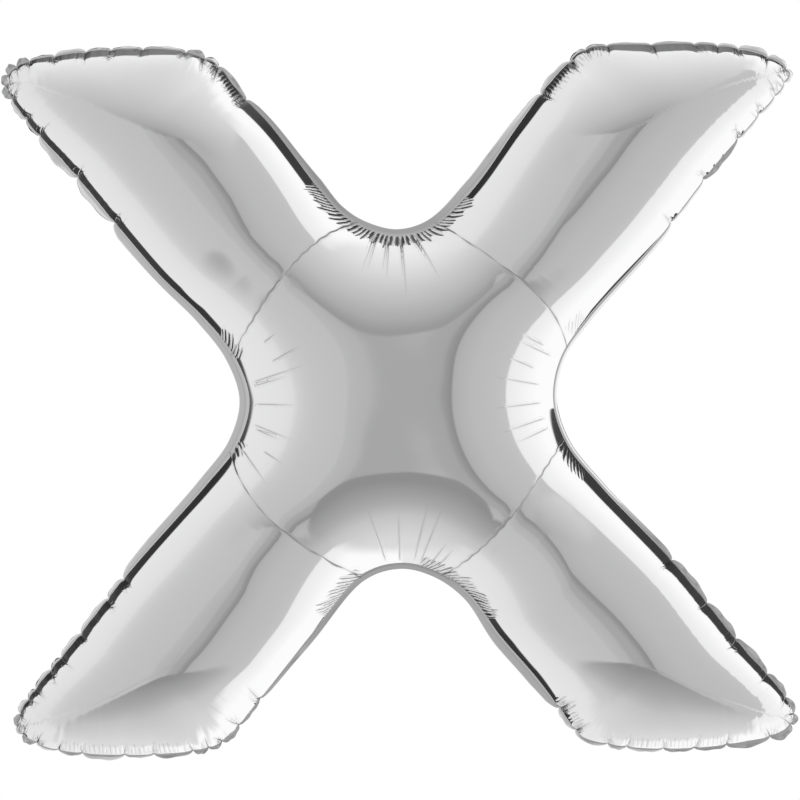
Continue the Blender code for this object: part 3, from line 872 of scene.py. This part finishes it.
route = tail_route()
run = lengths_along(route)
widths = TAIL_WIDTH + (TAIL_ROOT_WIDTH - TAIL_WIDTH) * (1 - ease(run / TAIL_TAPER))
tail_film = bpy.data.materials.new("silver_tail_film")
tail_film.use_nodes = True
tail_shader = tail_film.node_tree.nodes["Principled BSDF"]
tail_shader.inputs["Base Color"].default_value = FILM_SILVER
tail_shader.inputs["Metallic"].default_value = 1.0
tail_shader.inputs["Roughness"].default_value = 0.1
tail = sleeve("filling_tail_film", route, widths, TAIL_HALF_THICK, TAIL_CRUMPLE, tail_film)
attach(tail, "root")
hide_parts("filling_tail")

onward = (route[-1] - route[-2]) / np.linalg.norm(route[-1] - route[-2])
tongue_route = route[-1] + onward * np.linspace(0.3 * MM, VALVE_LENGTH, 14)[:, None]
tongue_widths = np.full(14, VALVE_WIDTH) * np.sqrt(1 - 0.12 * np.linspace(0, 1, 14) ** 6)
clear_film = bpy.data.materials.new("clear_valve_film")
clear_film.use_nodes = True
clear_shader = clear_film.node_tree.nodes["Principled BSDF"]
clear_shader.inputs["Base Color"].default_value = (0.85, 0.88, 0.9, 1.0)
clear_shader.inputs["Roughness"].default_value = 0.15
clear_shader.inputs["Alpha"].default_value = 0.45
tongue = sleeve("clear_valve_tongue", tongue_route, tongue_widths, 0.15 * MM, 0.1 * MM, clear_film)
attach(tongue, "root")
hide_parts("valve_tongue")


# The studio
# A pale floor far below and walls of soft light all round, because a mirror shows them: a
# darker opening round the camera, an even grey screen on its right, lighter ones on its left and
# above, white on the right behind, and a dark ring behind the rest.

CAMERA_DISTANCE = 6.0
FRAME_WIDTH = 0.9552
FLOOR_DEPTH = 3.0
FLOOR_RADIUS = 9.0
# How light each wall is, from 0 to 1 as seen, by degrees away from the camera's side
CEILING = ((0, 0.60), (15, 0.60), (25, 0.67), (45, 0.74), (65, 0.79), (90, 0.86), (112, 0.92), (128, 0.96))
GROUND = ((0, 0.56), (25, 0.56), (35, 0.60), (55, 0.67), (75, 0.77), (90, 0.81), (110, 0.86), (180, 0.87))
LEFT = ((0, 0.74), (45, 0.77), (60, 0.79), (72, 0.82), (80, 0.87), (95, 0.89), (180, 0.93))
RIGHT = ((12, 0.68), (16, 0.70), (30, 0.73), (60, 0.75), (77, 0.77), (79, 0.93), (100, 0.96), (120, 1.0))
OPENING = ((0, 0.73), (10, 0.70), (12, 0.655), (17, 0.645), (19, 0.60), (23, 0.55))
OPENING_EDGE = 11.5
# The dark ring behind, by degrees clockwise from straight up: where it begins, as a share of half a
# turn off the camera's axis, and how light it is
RING_START = ((0, 0.69), (25, 0.70), (52, 0.70), (80, 0.73), (90, 1), (105, 1), (128, 0.83), (150, 1), (205, 1), (225, 0.73), (250, 0.73), (270, 0.715), (308, 0.725), (340, 0.70), (360, 0.69))
RING_TONE = ((0, 0.5), (18, 0.45), (45, 0.24), (90, 0.3), (225, 0.22), (250, 0.3), (270, 0.4), (290, 0.3), (310, 0.2), (335, 0.3), (345, 0.45), (360, 0.5))
SEEN_TO_LIGHT = 2.2


def studio_walls():
    """Light by direction, from the azimuth (positive to the camera's right), the elevation, and the
    angle off the camera's axis."""
    world = bpy.data.worlds.new("studio")
    world.use_nodes = True
    tree = world.node_tree
    sky = Wire(tree)
    parts = tree.nodes.new("ShaderNodeSeparateXYZ")
    tree.links.new(sky.node("ShaderNodeTexCoord").socket, parts.inputs[0])
    x, y, z = (Wire(tree, parts.outputs[k]) for k in range(3))
    degrees = 180 / math.pi
    azimuth = sky.math("ARCTAN2", x, y * -1.0) * degrees
    elevation = sky.math("ARCSINE", z) * degrees
    off_axis = sky.math("ARCCOSINE", y * -1.0) * degrees
    aside = sky.math("ABSOLUTE", azimuth)

    def step(value, low, high):
        settings = {"interpolation_type": "SMOOTHSTEP"}
        return sky.node("ShaderNodeMapRange", settings, {0: value, 1: low, 2: high})

    def over(below, above, cover):
        return below + (above - below) * cover

    def tones(angle, stops):
        """A grey that runs straight from one stop to the next."""
        full = 180 if stops[-1][0] <= 180 else 360
        value = sky.node("ShaderNodeMapRange", None, {0: angle, 1: 0.0, 2: full * 1.0})
        made = value.node("ShaderNodeValToRGB", None, {0: value})
        ramp = made.socket.node.color_ramp
        while len(ramp.elements) < len(stops):
            ramp.elements.new(0.5)
        for element, (at, tone) in zip(ramp.elements, stops):
            element.position = at / full
            element.color = (tone, tone, tone, 1)
        return made

    dome = over(tones(off_axis, GROUND), tones(off_axis, CEILING), step(elevation, -6, 6))
    belt = over(tones(aside, LEFT), tones(azimuth + 12, OPENING), step(azimuth, -12, -10.5))
    belt = over(belt, tones(azimuth, RIGHT), step(azimuth, OPENING_EDGE - 0.3, OPENING_EDGE + 0.3))
    wide = sky.math("MINIMUM", aside, 90.0)
    soft = wide * 0.12 + 1.5
    top = 1 - step((elevation - wide * 0.4 - 12) / soft, 0, 1)
    bottom = 1 - step((elevation * -1.0 - wide * 0.4 - 16) / soft, 0, 1)
    light = over(dome, belt, top * bottom)
    clock = sky.math("ARCTAN2", x * -1.0, z * -1.0) * degrees
    ring = step(off_axis - tones(clock + 180, RING_START) * 180, -1, 2)
    light = over(light, tones(clock + 180, RING_TONE), ring)
    light = sky.math("POWER", light, SEEN_TO_LIGHT)
    camera_ray = Wire(tree, sky.node("ShaderNodeLightPath").socket)
    light = over(light, 1.0, camera_ray)
    shade = tree.nodes["Background"]
    tree.links.new(light.socket, shade.inputs["Color"])
    shade.inputs["Strength"].default_value = 1.0
    return world


bpy.context.scene.world = studio_walls()
bpy.context.scene.view_settings.view_transform = "Standard"

floor_mesh = bpy.data.meshes.new("floor")
turn = np.linspace(0, 2 * np.pi, 96, endpoint=False)
rim = np.stack([np.cos(turn), np.sin(turn), np.zeros(96)], axis=1) * FLOOR_RADIUS - (0, 0, FLOOR_DEPTH)
floor_mesh.from_pydata(rim.tolist(), [], [list(range(96))])
pale = bpy.data.materials.new("pale_floor")
pale.use_nodes = True
pale.node_tree.nodes["Principled BSDF"].inputs["Base Color"].default_value = (0.8, 0.8, 0.8, 1)
pale.node_tree.nodes["Principled BSDF"].inputs["Roughness"].default_value = 0.9
floor_mesh.materials.append(pale)
floor = bpy.data.objects.new("floor", floor_mesh)
bpy.context.scene.collection.objects.link(floor)
floor.visible_glossy = False

camera_data = bpy.data.cameras.new("camera")
camera_data.sensor_width = 36.0
camera_data.lens = 36.0 * CAMERA_DISTANCE / FRAME_WIDTH
camera = bpy.data.objects.new("camera", camera_data)
bpy.context.scene.collection.objects.link(camera)
camera.location = (0.0018, -CAMERA_DISTANCE, 0.0)
camera.rotation_euler = (math.pi / 2, 0, 0)
bpy.context.scene.camera = camera
